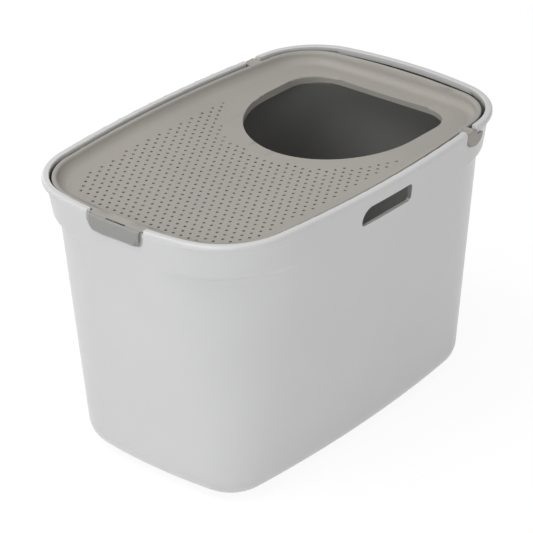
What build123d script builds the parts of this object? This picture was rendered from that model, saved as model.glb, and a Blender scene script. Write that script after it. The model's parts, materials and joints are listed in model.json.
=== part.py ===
from build123d import *
import os
from math import atan, cos, hypot, pi, radians, sin, sqrt, tan

# Top entry litter box: a deep tub, and a sunken perforated lid that tips up on two side ears.
# Millimetres, +Z up. The origin is on the floor, under the middle of the rim's bounding box.
# The latch end of the lid faces -Y, and the entry hole is towards +Y.

os.makedirs("parts", exist_ok=True)
# Tub, outside. All four sides bow out gently: the ends to one radius and the long sides to another.
LENGTH = 590.0
WIDTH = 392.0
HEIGHT = 383.0
END_RADIUS = 583.0
SIDE_RADIUS = 1628.0
BASE_LENGTH = 500.7
BASE_WIDTH = 298.7
BASE_END_RADIUS = 749.0
BASE_SIDE_RADIUS = 1835.0
BASE_ROUND = 40.0
RIM_CORNER = 101.0
COLLAR_CORNER = 123.0
WALL_CORNER = 148.0
BASE_CORNER = 56.0
SKIRT_DROP = 7.7
SKIRT_STEP = 3.5
COLLAR_DROP = 50.4
COLLAR_STEP = 9.0

# Tub, walls
WALL = 2.5
FLOOR = 3.0
RIM_WIDTH = 9.3
RIM_LIP_WALL = 3.0
RIM_LIP_DROP = 8.5
RIM_OUTER_ROUND = 3.5
RIM_INNER_ROUND = 1.5
RIM_END_ROUND = 3.0

# Hand slots, one in each long side
SLOT_LENGTH = 97.0
SLOT_HEIGHT = 24.0
SLOT_DROP = 20.0
SLOT_CENTRE_Y = -11.5
SLOT_CORNER = 6.0
SLOT_FRONT_CORNER = 17.0
SLOT_LIP = 7.0

# Latch pocket in the front end of the tub
POCKET_WIDTH = 90.6
POCKET_DROP = 24.0
POCKET_DEPTH = 5.5
POCKET_CORNER = 12.0

# Lid
SIDE_GAP = 4.3
FRONT_GAP = 3.2
BACK_GAP = 13.0
LID_DROP = 3.0
LID_FRONT_RADIUS = 640.0
LID_FRONT_CORNER = 89.0
LID_BACK_RADIUS = 800.0
LID_BACK_CORNER = 76.0
LID_WALL = 2.5
BEAD_WIDTH = 6.0
BEAD_THICKNESS = 4.0
BEAD_ROUND = 1.5
BAND_SLOPE = 84.0
BAND_ROUND = 12.5
DECK_DROP = 22.3
DECK_RADIUS = 2300.0

# Entry hole
HOLE_WIDTH = 242.4
HOLE_FRONT_Y = 4.0
HOLE_BACK_Y = 229.0
HOLE_NOSE = 129.0
HOLE_CORNER = 48.0
HOLE_LIP_DROP = 7.0

# Perforations
PERFORATION = 4.1
PERFORATION_PITCH = 12.0
PERFORATION_ROW_Y = -127.5
PERFORATION_MARGIN = 33.2
PERFORATION_HOLE_MARGIN = 40.0
PERFORATION_HOLE_SHIFT = 11.0

# Hinge: round ears outside the tub, on journals that lie in saddles in its wall
HINGE_Y = 178.0
HINGE_DROP = 7.5
EAR_RADIUS = 17.0
EAR_THICKNESS = 2.8
EAR_INSET = 9.0
EAR_BACK_DROP = 10.0
JOURNAL_RADIUS = 5.0
JOURNAL_CLEARANCE = 0.08
SADDLE_RISE = 1.0
NECK_DROP = 3.5
NECK_THICKNESS = 2.5
NOTCH_FRONT = 17.7
NOTCH_BACK = 6.0
EAR_POCKET_REACH = 18.0
EAR_POCKET_DROP = 25.2
EAR_POCKET_CORNER = 16.0
EAR_CLEARANCE = 0.5

# Front latch
LATCH_WIDTH = 80.5
LATCH_DROP = 22.7
LATCH_THICKNESS = 2.5
LATCH_CORNER = 9.0
LATCH_SEAM = 4.5
LATCH_ROUND = 4.0
HOOK_WIDTH = 31.0
HOOK_DROP = 12.0
HOOK_HEIGHT = 2.4
CATCH_REACH = 0.8
CATCH_HEIGHT = 2.0
CORE_SLOT = 3.2
FLARE_INSET = 6.5
FLARE_GAP = 0.8
FLARE_ROUND = 1.5
SEAM_GAP = 0.05
REST_GAP = 0.3

# Drawing aids: rings in a rounded foot or step, and how far a cutter crosses the faces it meets
FOOT_RINGS = 6
STEP_RINGS = 4
CROSSING = 0.15

# Places worked out from the sizes above
COLLAR_Z = HEIGHT - COLLAR_DROP
SKIRT_Z = HEIGHT - SKIRT_DROP
LID_Z = HEIGHT - LID_DROP
HINGE_Z = HEIGHT - HINGE_DROP
POCKET_FLOOR_Y = -LENGTH / 2 + POCKET_DEPTH
EAR_OUT = WIDTH / 2 - EAR_INSET
EAR_IN = EAR_OUT - EAR_THICKNESS
EAR_POCKET_X = EAR_IN - EAR_CLEARANCE
LID_LENGTH = LENGTH - 2 * RIM_WIDTH - FRONT_GAP - BACK_GAP
LID_WIDTH = WIDTH - 2 * RIM_WIDTH - 2 * SIDE_GAP
LID_CENTRE_Y = (FRONT_GAP - BACK_GAP) / 2
DECK_Z = HEIGHT - DECK_DROP
SEAM_Y = -LENGTH / 2 + LATCH_SEAM


def bowed_face(length, width, side_radius, front, back):
    """Flat outline with four bowed sides. Each end is given by its own radius and corner radius."""
    front_radius, front_corner = front
    back_radius, back_corner = back
    side = Circle(side_radius)
    side_x = width / 2 - side_radius
    face = Pos(0, length / 2 - back_radius) * Circle(back_radius)
    face &= Pos(0, front_radius - length / 2) * Circle(front_radius)
    face = face & Pos(side_x, 0) * side & Pos(-side_x, 0) * side
    if front == back:
        return fillet(face.vertices(), front_corner)
    face = fillet(face.vertices().group_by(Axis.Y)[0], front_corner)
    return fillet(face.vertices().group_by(Axis.Y)[-1], back_corner)


def block(x_range, y_range, z_range):
    """Box between two corners."""
    size = (x_range[1] - x_range[0], y_range[1] - y_range[0], z_range[1] - z_range[0])
    centre = (sum(x_range) / 2, sum(y_range) / 2, sum(z_range) / 2)
    return Pos(*centre) * Box(*size)


def prism(face, low, high):
    """Upright prism of a flat outline between two heights."""
    return Pos(0, 0, low) * extrude(face, high - low)


def tub_section(z, corner, inset=0.0):
    """Level section of the tub at height z. The sides taper evenly from the base to the skirt."""
    rise = min(z / SKIRT_Z, 1.0)
    end = (BASE_END_RADIUS + (END_RADIUS - BASE_END_RADIUS) * rise - inset, corner - inset)
    return bowed_face(
        BASE_LENGTH + (LENGTH - BASE_LENGTH) * rise - 2 * inset,
        BASE_WIDTH + (WIDTH - BASE_WIDTH) * rise - 2 * inset,
        BASE_SIDE_RADIUS + (SIDE_RADIUS - BASE_SIDE_RADIUS) * rise - inset,
        end,
        end,
    )


def foot_rings(inset, floor_z):
    """Height and inset of the rings of the foot, which is tangent to the floor and the wall."""
    radius = BASE_ROUND - inset
    draft = atan((WIDTH - BASE_WIDTH) / 2 / SKIRT_Z)
    rings = []
    for step in range(FOOT_RINGS + 1):
        angle = pi / 2 + (draft - pi / 2) * step / FOOT_RINGS
        z = radius * (1 - sin(angle))
        back = (z - radius) * tan(draft) + radius / cos(draft) - radius * cos(angle)
        rings.append((floor_z + z, inset + back))
    return rings


def soft_step(middle_z, height, low_corner, high_corner):
    """Height and corner radius of the rings of a rounded step, which shows at the corners alone."""
    rings = []
    for step in range(STEP_RINGS + 1):
        share = step / STEP_RINGS
        ease = (1 - cos(pi * share)) / 2
        z = middle_z + height * (share - 0.5)
        rings.append((z, low_corner + (high_corner - low_corner) * ease))
    return rings


def tub_form(top_z, inset=0.0, floor_z=0.0):
    """Solid tub, or with an inset the space inside it. Its flat sides run straight up to the rim."""
    foot = []
    for z, back in foot_rings(inset, floor_z):
        corner = BASE_CORNER + (WALL_CORNER - BASE_CORNER) * z / COLLAR_Z
        foot.append(Pos(0, 0, z) * tub_section(z, corner, back))
    rings = soft_step(COLLAR_Z + inset, COLLAR_STEP, WALL_CORNER, COLLAR_CORNER)
    rings += soft_step(SKIRT_Z + inset, SKIRT_STEP, COLLAR_CORNER, RIM_CORNER)
    rings.append((top_z, RIM_CORNER))
    tiers = [Pos(0, 0, z) * tub_section(z, corner, inset) for z, corner in rings]
    return loft(foot) + loft([foot[-1]] + tiers, ruled=True)


def rim_outline(inset=0.0):
    """Outline of the rim's outer edge, or of a line inside it."""
    return tub_section(HEIGHT, RIM_CORNER, inset)


def both_sides(solid):
    """A feature of the +X side, with its mirror image on the -X side."""
    return solid + mirror(solid, Plane.YZ)


def notches():
    """Outlines of the three gaps in the rim: one for the latch, and one for each side neck."""
    front = Pos(0, -LENGTH / 2) * Rectangle(POCKET_WIDTH, 4 * RIM_WIDTH)
    side = Pos(EAR_OUT, HINGE_Y + (NOTCH_BACK - NOTCH_FRONT) / 2) * Rectangle(
        6 * RIM_WIDTH, NOTCH_FRONT + NOTCH_BACK
    )
    return front + side + mirror(side, Plane.YZ)


def is_notch_corner(vertex):
    """True for the corners where a rim notch meets the rim's two edges."""
    front = abs(abs(vertex.X) - POCKET_WIDTH / 2) < 0.01 and vertex.Y < 0
    near = abs(vertex.Y - HINGE_Y + NOTCH_FRONT) < 0.01
    far = abs(vertex.Y - HINGE_Y - NOTCH_BACK) < 0.01
    return front or near or far


def notch_cutter():
    """Solid that cuts the rim's notches and rounds the rim's ends. It crosses every face it cuts."""
    kept = rim_outline(-CROSSING) - rim_outline(RIM_WIDTH + CROSSING) - notches()
    kept = fillet([v for v in kept.vertices() if is_notch_corner(v)], RIM_END_ROUND)
    cut = offset(notches(), 2 * RIM_END_ROUND, kind=Kind.INTERSECTION) - kept
    return prism(cut, HEIGHT - RIM_LIP_DROP, HEIGHT + WALL)


def lip():
    """Lip that hangs from the rim's inner edge, with the rim's ends closed beside the notches."""
    outer = rim_outline(WALL)
    ring = rim_outline(RIM_WIDTH - RIM_LIP_WALL) - rim_outline(RIM_WIDTH)
    ends = (outer - rim_outline(RIM_WIDTH)) & offset(notches(), WALL, kind=Kind.INTERSECTION)
    return prism(ring + ends, HEIGHT - RIM_LIP_DROP, HEIGHT - WALL)


def hand_slot(grow, x_low):
    """Solid that fills the +X hand slot, outwards from x_low."""
    middle_z = HEIGHT - SLOT_DROP - SLOT_HEIGHT / 2
    face = Pos(SLOT_CENTRE_Y, middle_z) * Rectangle(SLOT_LENGTH, SLOT_HEIGHT)
    corners = face.vertices().group_by(Axis.Y)
    front_top = corners[-1].sort_by(Axis.X)[0]
    others = [v for v in face.vertices() if v != front_top]
    face = fillet(others, SLOT_CORNER)
    front_top = face.vertices().sort_by(Axis.Y)[-3:].sort_by(Axis.X)[0]
    face = fillet(front_top, SLOT_FRONT_CORNER)
    if grow:
        face = offset(face, grow)
    return sideways(face, x_low, WIDTH)


def sideways(face, x_low, x_high):
    """Solid of an outline drawn with y to the right and z up, carried along X."""
    return extrude(Plane.YZ.offset(x_low) * face, x_high - x_low, dir=(1, 0, 0))


def latch_pocket():
    """Space in the tub's front end that the latch tab hangs in."""
    face = Pos(0, HEIGHT - POCKET_DROP / 2 + RIM_WIDTH / 2) * Rectangle(
        POCKET_WIDTH, POCKET_DROP + RIM_WIDTH
    )
    face = fillet(face.vertices().group_by(Axis.Y)[0], POCKET_CORNER)
    return extrude(Plane.XZ.offset(-POCKET_FLOOR_Y) * face, LENGTH, dir=(0, -1, 0))


def latch_pocket_back():
    """Wall behind the latch pocket. The lid's front neck crosses just over its top edge."""
    return block(
        (-POCKET_WIDTH / 2 - WALL, POCKET_WIDTH / 2 + WALL),
        (-LENGTH, POCKET_FLOOR_Y + WALL),
        (HEIGHT - POCKET_DROP - WALL, LID_Z - LATCH_THICKNESS - REST_GAP),
    )


def catch():
    """Rib across the pocket's back, just over the latch's hook."""
    low = HEIGHT - HOOK_DROP + REST_GAP
    return block(
        (-HOOK_WIDTH / 2 - WALL, HOOK_WIDTH / 2 + WALL),
        (POCKET_FLOOR_Y - CATCH_REACH, POCKET_FLOOR_Y + WALL / 2),
        (low, low + CATCH_HEIGHT),
    )


def ear_pocket():
    """Space in the +X side that the ear, its neck and its journal turn in."""
    low = HEIGHT - EAR_POCKET_DROP
    below = block(
        (EAR_POCKET_X, WIDTH),
        (HINGE_Y - EAR_POCKET_REACH, HINGE_Y + EAR_POCKET_REACH),
        (low, HEIGHT - RIM_LIP_DROP),
    )
    below = fillet(below.edges().filter_by(Axis.X).group_by(Axis.Z)[0], EAR_POCKET_CORNER)
    notch_y = (HINGE_Y - NOTCH_FRONT, HINGE_Y + NOTCH_BACK)
    outside = block((EAR_POCKET_X, WIDTH), notch_y, (HINGE_Z - JOURNAL_RADIUS, HEIGHT + WALL))
    over = block((WIDTH / 4, WIDTH), notch_y, (HINGE_Z + SADDLE_RISE, HEIGHT + WALL))
    bore = Pos(HINGE_Y, HINGE_Z) * Circle(JOURNAL_RADIUS + JOURNAL_CLEARANCE)
    return below + outside + over + sideways(bore, WIDTH / 4, WIDTH)


def ear_pocket_back():
    """Wall behind the ear pocket, which the saddle for the journal is cut in."""
    return block(
        (EAR_POCKET_X - WALL, WIDTH),
        (HINGE_Y - EAR_POCKET_REACH - WALL, HINGE_Y + EAR_POCKET_REACH + WALL),
        (HEIGHT - EAR_POCKET_DROP - WALL, HEIGHT - WALL),
    )


def tub():
    """The whole tub: one moulding."""
    outside = tub_form(HEIGHT)
    outside = fillet(outside.edges().group_by(Axis.Z)[-1], RIM_OUTER_ROUND)
    shell = outside - tub_form(HEIGHT - WALL, WALL, FLOOR)
    shell -= prism(rim_outline(RIM_WIDTH), HEIGHT - 2 * WALL, HEIGHT)
    top = shell.faces().sort_by(Axis.Z)[-1]
    shell = fillet(top.inner_wires()[0].edges(), RIM_INNER_ROUND)
    shell += lip()
    shell -= notch_cutter()
    shell += latch_pocket_back() & outside
    shell += both_sides(ear_pocket_back() & outside)
    shell -= latch_pocket()
    shell -= both_sides(ear_pocket())
    shell += catch()
    slot_in = WIDTH / 2 - WALL - SLOT_LIP
    shell += both_sides(hand_slot(WALL, slot_in) & outside)
    return shell - both_sides(hand_slot(0, slot_in - WALL))


def lid_outline(inset=0.0):
    """Outline of the lid's bead, or of a line inside it."""
    face = bowed_face(
        LID_LENGTH - 2 * inset,
        LID_WIDTH - 2 * inset,
        SIDE_RADIUS - RIM_WIDTH - SIDE_GAP - inset,
        (LID_FRONT_RADIUS - inset, LID_FRONT_CORNER - inset),
        (LID_BACK_RADIUS - inset, LID_BACK_CORNER - inset),
    )
    return Pos(0, LID_CENTRE_Y) * face


def basin(grow):
    """Space over the sunken deck: sloping band, rounded foot and gently dished floor."""
    low = DECK_Z - 2 * LID_WALL - grow
    slope = radians(BAND_SLOPE)
    inset = BEAD_WIDTH - grow / sin(slope)
    run = (LID_Z - low) / tan(slope)
    space = loft(
        [Pos(0, 0, low) * lid_outline(inset + run), Pos(0, 0, LID_Z) * lid_outline(inset)],
        ruled=True,
    )
    roller = Cylinder(DECK_RADIUS + grow, 2 * LENGTH, rotation=(90, 0, 0))
    space &= Pos(0, 0, DECK_Z + DECK_RADIUS) * roller
    floor = space.faces().filter_by(GeomType.CYLINDER).sort_by(SortBy.AREA)[-1]
    return fillet(floor.edges(), BAND_ROUND + grow)


def entry_hole(grow=0.0):
    """Outline of the entry hole: straight sides, an elliptical front and rounded back corners."""
    half = HOLE_WIDTH / 2 + grow
    nose_y = HOLE_FRONT_Y + HOLE_NOSE
    back_y = HOLE_BACK_Y + grow
    nose = Pos(0, nose_y) * Ellipse(half, HOLE_NOSE + grow)
    nose -= Pos(0, nose_y + HOLE_NOSE) * Rectangle(3 * half, 2 * HOLE_NOSE)
    back = Pos(0, (nose_y + back_y) / 2) * Rectangle(2 * half, back_y - nose_y)
    back = fillet(back.vertices().group_by(Axis.Y)[-1], HOLE_CORNER + grow)
    return nose + back


def perforation_points():
    """Hexagonal grid, kept inside a margin of the lid's edge and clear of the entry hole."""
    edge = lid_outline(PERFORATION_MARGIN).face()
    hole_centre_y = HOLE_FRONT_Y + HOLE_NOSE + PERFORATION_HOLE_SHIFT
    hole_reach = HOLE_WIDTH / 2 + PERFORATION_HOLE_MARGIN
    row_pitch = PERFORATION_PITCH * sqrt(3) / 2
    rows = int(LENGTH / row_pitch)
    columns = int(WIDTH / 2 / PERFORATION_PITCH)
    points = []
    for row in range(-rows, rows):
        y = PERFORATION_ROW_Y + row * row_pitch
        for column in range(-columns, columns):
            x = (column + (0.5 if row % 2 == 0 else 0.0)) * PERFORATION_PITCH
            if hypot(x, y - hole_centre_y) > hole_reach and edge.is_inside((x, y, 0)):
                points.append((x, y))
    return points


def perforations():
    """Pins that cut the perforations."""
    pins = Sketch() + [Pos(x, y) * Circle(PERFORATION / 2) for x, y in perforation_points()]
    return prism(pins, DECK_Z - 2 * LID_WALL, LID_Z)


def ear():
    """Round ear outside the +X side, cut back on top so that it turns under the rim."""
    disc = Pos(HINGE_Y, HINGE_Z) * Circle(EAR_RADIUS)
    hub = Pos(HINGE_Y, HINGE_Z) * Circle(NOTCH_BACK - EAR_CLEARANCE)
    neck_top = HEIGHT - NECK_DROP
    disc -= Pos(HINGE_Y, neck_top + EAR_RADIUS) * Rectangle(3 * EAR_RADIUS, 2 * EAR_RADIUS)
    back_top = HEIGHT - EAR_BACK_DROP
    disc -= Pos(HINGE_Y + EAR_RADIUS, back_top + EAR_RADIUS) * Rectangle(
        2 * EAR_RADIUS, 2 * EAR_RADIUS
    )
    disc += hub - Pos(HINGE_Y, neck_top + EAR_RADIUS) * Rectangle(3 * EAR_RADIUS, 2 * EAR_RADIUS)
    return sideways(disc, EAR_IN, EAR_OUT)


def side_neck():
    """Flat web and round journal that carry the +X ear out from the bead."""
    root_x = lid_edge_x(HINGE_Y) - BEAD_WIDTH
    web = block(
        (root_x, EAR_OUT),
        (HINGE_Y - EAR_RADIUS + EAR_CLEARANCE, HINGE_Y),
        (HEIGHT - NECK_DROP - NECK_THICKNESS, HEIGHT - NECK_DROP),
    )
    journal = sideways(Pos(HINGE_Y, HINGE_Z) * Circle(JOURNAL_RADIUS), root_x, EAR_IN)
    return web + journal


def lid_edge_x(y):
    """Distance from the middle to the lid's edge, on the +X side at y."""
    reach = lid_outline().face().bounding_box().max.X
    side = lid_outline() & Pos(reach / 2, y) * Rectangle(2 * reach, 1.0)
    return side.bounding_box().max.X


def front_neck():
    """Flat bridge from the bead to the latch's bend. It flares to fill the rim's front notch."""
    low_y = SEAM_Y + SEAM_GAP
    flare_y = -LENGTH / 2 + FLARE_INSET
    high_y = -LENGTH / 2 + RIM_WIDTH + FRONT_GAP + BEAD_WIDTH
    bridge = Pos(0, (low_y + high_y) / 2) * Rectangle(LATCH_WIDTH, high_y - low_y)
    bridge += Pos(0, (flare_y + high_y) / 2) * Rectangle(
        POCKET_WIDTH - 2 * FLARE_GAP, high_y - flare_y
    )
    inner = [v for v in bridge.vertices() if abs(abs(v.X) - LATCH_WIDTH / 2) < 0.01 and v.Y > low_y + 0.01]
    return prism(fillet(inner, FLARE_ROUND), LID_Z - LATCH_THICKNESS, LID_Z)


def core_slot():
    """Slot over the latch's hook, across the bend."""
    return block(
        (-HOOK_WIDTH / 2, HOOK_WIDTH / 2),
        (SEAM_Y - CORE_SLOT / 2, SEAM_Y + CORE_SLOT / 2),
        (LID_Z - 2 * LATCH_THICKNESS, LID_Z + LATCH_THICKNESS),
    )


def lid():
    """The whole lid but its latch tab."""
    bead = prism(lid_outline() - lid_outline(BEAD_WIDTH), LID_Z - BEAD_THICKNESS, LID_Z)
    bead = fillet(bead.edges().group_by(Axis.Z)[-1], BEAD_ROUND)
    space = basin(0)
    tray = basin(LID_WALL) + both_sides(side_neck() + ear()) + front_neck()
    tray = tray - space + bead
    tray -= prism(entry_hole(), DECK_Z - HEIGHT / 4, HEIGHT)
    lip = entry_hole(LID_WALL) - entry_hole()
    tray += prism(lip, DECK_Z - HOLE_LIP_DROP, LID_Z) - space
    tray -= core_slot()
    return tray - perforations()


def front_latch():
    """Spring tab of the lid: its bend, the hanging flap and the hook behind the flap."""
    outer_y = -LENGTH / 2
    inner_y = outer_y + LATCH_THICKNESS
    half = LATCH_WIDTH / 2
    low = HEIGHT - LATCH_DROP
    flap = block((-half, half), (outer_y, inner_y), (low, LID_Z))
    flap = fillet(flap.edges().filter_by(Axis.Y).group_by(Axis.Z)[0], LATCH_CORNER)
    bend = block((-half, half), (outer_y, SEAM_Y), (LID_Z - LATCH_THICKNESS, LID_Z))
    tab = flap + bend
    outer_edge = tab.edges().filter_by(Axis.X).group_by(Axis.Z)[-1].sort_by(Axis.Y)[0]
    tab = fillet(outer_edge, LATCH_ROUND)
    hook_top = HEIGHT - HOOK_DROP
    hook = block(
        (-HOOK_WIDTH / 2, HOOK_WIDTH / 2),
        (outer_y + LATCH_THICKNESS / 2, POCKET_FLOOR_Y - CATCH_REACH - REST_GAP),
        (hook_top - HOOK_HEIGHT, hook_top),
    )
    return tab + hook - core_slot()


PIECES = {"tub": tub, "lid": lid, "front_latch": front_latch}

for name, make in PIECES.items():
    piece = make()
    piece.label = name
    export_step(piece, f"parts/{name}.step")
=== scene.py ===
import json
import math

import bpy
from mathutils import Matrix, Vector

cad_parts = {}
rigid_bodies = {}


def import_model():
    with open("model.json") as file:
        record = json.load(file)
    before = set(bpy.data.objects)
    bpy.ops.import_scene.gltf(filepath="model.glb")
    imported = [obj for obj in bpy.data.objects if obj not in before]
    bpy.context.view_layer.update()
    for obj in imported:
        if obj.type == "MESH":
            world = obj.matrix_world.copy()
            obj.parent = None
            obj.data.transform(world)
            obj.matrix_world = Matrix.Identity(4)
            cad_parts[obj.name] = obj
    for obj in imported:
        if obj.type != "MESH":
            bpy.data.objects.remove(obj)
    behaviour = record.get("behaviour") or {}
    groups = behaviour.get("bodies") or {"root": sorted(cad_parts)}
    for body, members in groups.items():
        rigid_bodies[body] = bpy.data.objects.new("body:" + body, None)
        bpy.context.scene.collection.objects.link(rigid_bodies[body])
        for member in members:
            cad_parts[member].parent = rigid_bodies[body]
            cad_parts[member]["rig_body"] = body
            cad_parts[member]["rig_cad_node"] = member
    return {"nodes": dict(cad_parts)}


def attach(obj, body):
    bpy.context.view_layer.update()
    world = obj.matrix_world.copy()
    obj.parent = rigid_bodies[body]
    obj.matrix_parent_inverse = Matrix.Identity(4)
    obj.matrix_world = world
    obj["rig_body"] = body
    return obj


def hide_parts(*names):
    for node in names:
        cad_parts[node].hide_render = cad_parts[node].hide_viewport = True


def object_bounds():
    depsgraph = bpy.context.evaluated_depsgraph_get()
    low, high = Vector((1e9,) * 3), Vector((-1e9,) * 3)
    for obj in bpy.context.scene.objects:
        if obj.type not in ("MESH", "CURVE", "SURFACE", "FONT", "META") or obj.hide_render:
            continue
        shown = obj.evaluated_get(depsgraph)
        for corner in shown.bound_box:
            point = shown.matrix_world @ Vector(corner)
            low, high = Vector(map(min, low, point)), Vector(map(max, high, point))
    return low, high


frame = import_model()
CAD_LOW, CAD_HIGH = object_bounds()

MM = 0.001
HEIGHT = CAD_HIGH.z - CAD_LOW.z

# Finish of the mouldings
POLYPROPYLENE_IOR = 1.49
CLOUD_SIZE = 140 * MM
CLOUD_DETAIL = 2.0
CLOUD_DARKEST = 0.3
CLOUD_LIGHTEST = 0.7
GRAIN_DETAIL = 3.0
GRAIN_STRENGTH = 0.5

# Joining the triangles, and shading what is round as round
JOIN_WITHIN = 0.005 * MM
ROUND_ANGLE = math.radians(28)
FACE_AREA_WEIGHT = 80

# Telling the inside of the tub, which gets a painted shade, from its outside
RIM_DEPTH = 8 * MM
FLOOR_DEPTH = 50 * MM
WIDEST_POCKET = 120 * MM
NEARLY_LEVEL = 0.7
OFF_THE_FACE = 0.1 * MM
LOOK_ASIDE = math.radians(35)

# Studio
FLOOR_SIZE = 40
FLOOR_GAP = 0.1 * MM
FLOOR_GLOW_SHARE = 0.82
FLOOR_GLOW = 1.08
SKY_STRENGTH = 0.42

# Camera
SENSOR_WIDTH = 36.0
LENS = 166.43
SHIFT_X = -0.0160
SHIFT_Y = 0.0135
AZIMUTH = math.radians(40.38)
ELEVATION = math.radians(28.4)
ROLL = math.radians(1.06)
TARGET_HEIGHT = 0.18668
DISTANCE = 3.20738
FARTHEST_SEEN = 100


def linear(hex_colour):
    """An sRGB hex colour as linear red, green, blue and alpha."""
    parts = [int(hex_colour[i:i + 2], 16) / 255 for i in (1, 3, 5)]
    return [c / 12.92 if c <= 0.04045 else ((c + 0.055) / 1.055) ** 2.4 for c in parts] + [1.0]


def add_node(tree, kind, settings=None, links=None):
    """Adds a node, sets its properties and sockets, and links sockets from other nodes."""
    node = tree.nodes.new(kind)
    for name, value in (settings or {}).items():
        if hasattr(node, name):
            setattr(node, name, value)
        else:
            node.inputs[name].default_value = value
    for name, source in (links or {}).items():
        tree.links.new(source, node.inputs[name])
    return node


def new_material(name):
    """An empty node material."""
    material = bpy.data.materials.new(name)
    material.use_nodes = True
    material.node_tree.nodes.clear()
    return material


def moulded_polypropylene(name, dark, light, roughness, grain_size, grain_height):
    """Moulded polypropylene: a cloudy tint, a roughness that drifts, and the tool's fine grain."""
    material = new_material(name)
    tree = material.node_tree
    place = add_node(tree, "ShaderNodeTexCoord").outputs["Object"]
    cloud = add_node(
        tree, "ShaderNodeTexNoise", {"Scale": 1 / CLOUD_SIZE, "Detail": CLOUD_DETAIL}, {"Vector": place}
    )
    grain = add_node(
        tree, "ShaderNodeTexNoise", {"Scale": 1 / grain_size, "Detail": GRAIN_DETAIL}, {"Vector": place}
    )
    tint = add_node(tree, "ShaderNodeValToRGB", {}, {"Fac": cloud.outputs["Fac"]})
    tint.color_ramp.elements[0].position = CLOUD_DARKEST
    tint.color_ramp.elements[0].color = linear(dark)
    tint.color_ramp.elements[1].position = CLOUD_LIGHTEST
    tint.color_ramp.elements[1].color = linear(light)
    gloss = add_node(
        tree,
        "ShaderNodeMapRange",
        {
            "From Min": CLOUD_DARKEST,
            "From Max": CLOUD_LIGHTEST,
            "To Min": roughness[0],
            "To Max": roughness[1],
        },
        {"Value": cloud.outputs["Fac"]},
    )
    relief = add_node(
        tree,
        "ShaderNodeBump",
        {"Strength": GRAIN_STRENGTH, "Distance": grain_height},
        {"Height": grain.outputs["Fac"]},
    )
    skin = add_node(
        tree,
        "ShaderNodeBsdfPrincipled",
        {"IOR": POLYPROPYLENE_IOR},
        {
            "Base Color": tint.outputs["Color"],
            "Roughness": gloss.outputs["Result"],
            "Normal": relief.outputs["Normal"],
        },
    )
    add_node(tree, "ShaderNodeOutputMaterial", {}, {"Surface": skin.outputs["BSDF"]})
    return material


def select_only(piece):
    """Selects one object and makes it active."""
    bpy.ops.object.select_all(action="DESELECT")
    piece.select_set(True)
    bpy.context.view_layer.objects.active = piece


def merged_copy(node, name, body):
    """A copy of a CAD node with its triangles joined and its round faces shaded smooth."""
    source = frame["nodes"][node]
    piece = source.copy()
    piece.data = source.data.copy()
    piece.name = name
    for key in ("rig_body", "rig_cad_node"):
        if key in piece:
            del piece[key]
    piece.parent = None
    bpy.context.scene.collection.objects.link(piece)
    select_only(piece)
    bpy.ops.object.mode_set(mode="EDIT")
    bpy.ops.mesh.select_all(action="SELECT")
    bpy.ops.mesh.remove_doubles(threshold=JOIN_WITHIN)
    bpy.ops.object.mode_set(mode="OBJECT")
    bpy.ops.object.shade_smooth_by_angle(angle=ROUND_ANGLE)
    bpy.ops.object.modifier_add(type="WEIGHTED_NORMAL")
    evener = piece.modifiers[-1]
    evener.mode = "FACE_AREA"
    evener.weight = FACE_AREA_WEIGHT
    evener.keep_sharp = True
    bpy.ops.object.modifier_apply(modifier=evener.name)
    piece.select_set(False)
    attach(piece, body)
    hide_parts(node)
    return piece


def looks_inwards(piece, face):
    """True for the floor, and for a wall face that has another wall well in front of it."""
    if face.normal.z > NEARLY_LEVEL:
        return face.center.z < FLOOR_DEPTH
    ahead = Vector((face.normal.x, face.normal.y, 0)).normalized()
    start = face.center + face.normal * OFF_THE_FACE
    for turn in (0, LOOK_ASIDE, -LOOK_ASIDE):
        way = Matrix.Rotation(turn, 3, "Z") @ ahead
        hit, place, _, _ = piece.ray_cast(start, way)
        if hit and (place - start).length > WIDEST_POCKET:
            return True
    return False


def shade_and_dull_the_inside(piece):
    """Gives the inside of the tub, under its rim, the duller finish and the darker tint of painted
    shade.
    """
    for face in piece.data.polygons:
        if face.center.z < HEIGHT - RIM_DEPTH and looks_inwards(piece, face):
            # painted shade: these inside faces take the darker inner tint
            face.material_index = 1


# The tub's outside: smooth and softly glossy, pale with broad highlights
tub_skin = moulded_polypropylene(
    "gloss_moulded_polypropylene", "#d4d4d3", "#d7d7d6", (0.29, 0.31), 1.2 * MM, 0.012 * MM
)
# The tub's inside: duller, with a darker tint than the same plastic has. The darker tint is painted
# shade, so that the inside looks deep
inner_skin_painted_shade = moulded_polypropylene(
    "unpolished_polypropylene_painted_shade", "#8b8a87", "#91908d", (0.42, 0.52), 1.0 * MM, 0.03 * MM
)
# The lid: a grain that breaks up the highlights, so it looks matte and warm grey
lid_skin = moulded_polypropylene(
    "matte_grained_polypropylene", "#a5a09a", "#aaa59e", (0.46, 0.56), 0.8 * MM, 0.05 * MM
)
# The latch tab: the lid's grain on a greyer tint, darker than the lid as painted shade for the tab's
# slope down from the lid's edge
latch_skin_shaded = moulded_polypropylene(
    "fine_grained_polypropylene_shaded", "#949390", "#999895", (0.46, 0.56), 0.8 * MM, 0.05 * MM
)
for node, skin in (("tub", tub_skin), ("lid", lid_skin), ("front_latch", latch_skin_shaded)):
    piece = merged_copy(node, node + "_shell", node)
    piece.data.materials.clear()
    piece.data.materials.append(skin)
    if node == "tub":
        # second slot: the darker inner tint, painted shade for the inside of the tub
        piece.data.materials.append(inner_skin_painted_shade)
        shade_and_dull_the_inside(piece)

# Name, place, size across, power and colour of each square lamp
LAMPS = (
    ("top", (-0.5, -0.9, 2.4), 1.8, 30, (1.0, 1.0, 1.0)),
    ("near", (1.25, -2.5, 1.2), 1.2, 18, (0.95, 0.98, 1.0)),
    ("right", (2.2, 2.6, 1.0), 1.2, 7, (1.0, 1.0, 1.0)),
    ("left", (-2.4, 0.6, 0.9), 1.2, 7, (1.0, 1.0, 1.0)),
)


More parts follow.
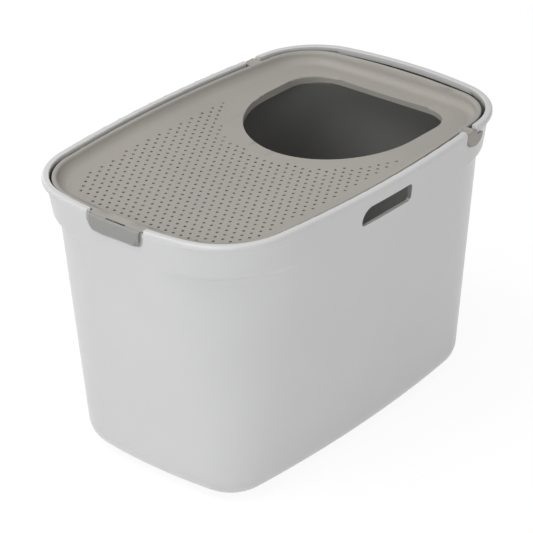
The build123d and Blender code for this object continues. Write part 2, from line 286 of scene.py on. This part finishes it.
def studio():
    """Pale floor, a soft even sky and large soft lamps."""
    bpy.ops.object.select_all(action="DESELECT")
    bpy.ops.mesh.primitive_plane_add(size=FLOOR_SIZE, location=(0, 0, -FLOOR_GAP))
    floor = bpy.context.object
    floor.name = "floor"
    material = new_material("studio_floor_paper")
    tree = material.node_tree
    ray = add_node(tree, "ShaderNodeLightPath").outputs
    seen = add_node(tree, "ShaderNodeMath", {"operation": "MAXIMUM"})
    tree.links.new(ray["Is Camera Ray"], seen.inputs[0])
    tree.links.new(ray["Is Glossy Ray"], seen.inputs[1])
    share = add_node(tree, "ShaderNodeMath", {"operation": "MULTIPLY"})
    tree.links.new(seen.outputs["Value"], share.inputs[0])
    share.inputs[1].default_value = FLOOR_GLOW_SHARE
    paper = add_node(tree, "ShaderNodeBsdfDiffuse", {"Color": linear("#f4f4f4")})
    white = add_node(
        tree, "ShaderNodeEmission", {"Color": (1.0, 1.0, 1.0, 1.0), "Strength": FLOOR_GLOW}
    )
    both = add_node(tree, "ShaderNodeMixShader", {}, {"Fac": share.outputs["Value"]})
    tree.links.new(paper.outputs["BSDF"], both.inputs[1])
    tree.links.new(white.outputs["Emission"], both.inputs[2])
    add_node(tree, "ShaderNodeOutputMaterial", {}, {"Surface": both.outputs["Shader"]})
    floor.data.materials.append(material)
    world = bpy.data.worlds.new("studio")
    world.use_nodes = True
    sky = world.node_tree.nodes["Background"]
    sky.inputs["Color"].default_value = (1, 1, 1, 1)
    sky.inputs["Strength"].default_value = SKY_STRENGTH
    bpy.context.scene.world = world
    for name, place, size, power, tint in LAMPS:
        lamp = bpy.data.lights.new(name, "AREA")
        lamp.size = size
        lamp.energy = power
        lamp.color = tint
        holder = bpy.data.objects.new(name, lamp)
        bpy.context.scene.collection.objects.link(holder)
        holder.location = place
        aim = Vector((0, 0, HEIGHT / 2)) - Vector(place)
        holder.rotation_euler = aim.to_track_quat("-Z", "Y").to_euler()


def camera():
    """Long lens from the front right, tilted down on the lid."""
    data = bpy.data.cameras.new("camera")
    data.sensor_width = SENSOR_WIDTH
    data.lens = LENS
    data.shift_x = SHIFT_X
    data.shift_y = SHIFT_Y
    data.clip_end = FARTHEST_SEEN
    holder = bpy.data.objects.new("camera", data)
    bpy.context.scene.collection.objects.link(holder)
    turn = (
        Matrix.Rotation(AZIMUTH, 4, "Z")
        @ Matrix.Rotation(math.pi / 2 - ELEVATION, 4, "X")
        @ Matrix.Rotation(-ROLL, 4, "Z")
    )
    target = Vector((0, 0, TARGET_HEIGHT))
    back = turn @ Vector((0, 0, 1))
    holder.matrix_world = Matrix.Translation(target + back * DISTANCE) @ turn
    bpy.context.scene.camera = holder


studio()
camera()
bpy.context.scene.view_settings.view_transform = "Standard"
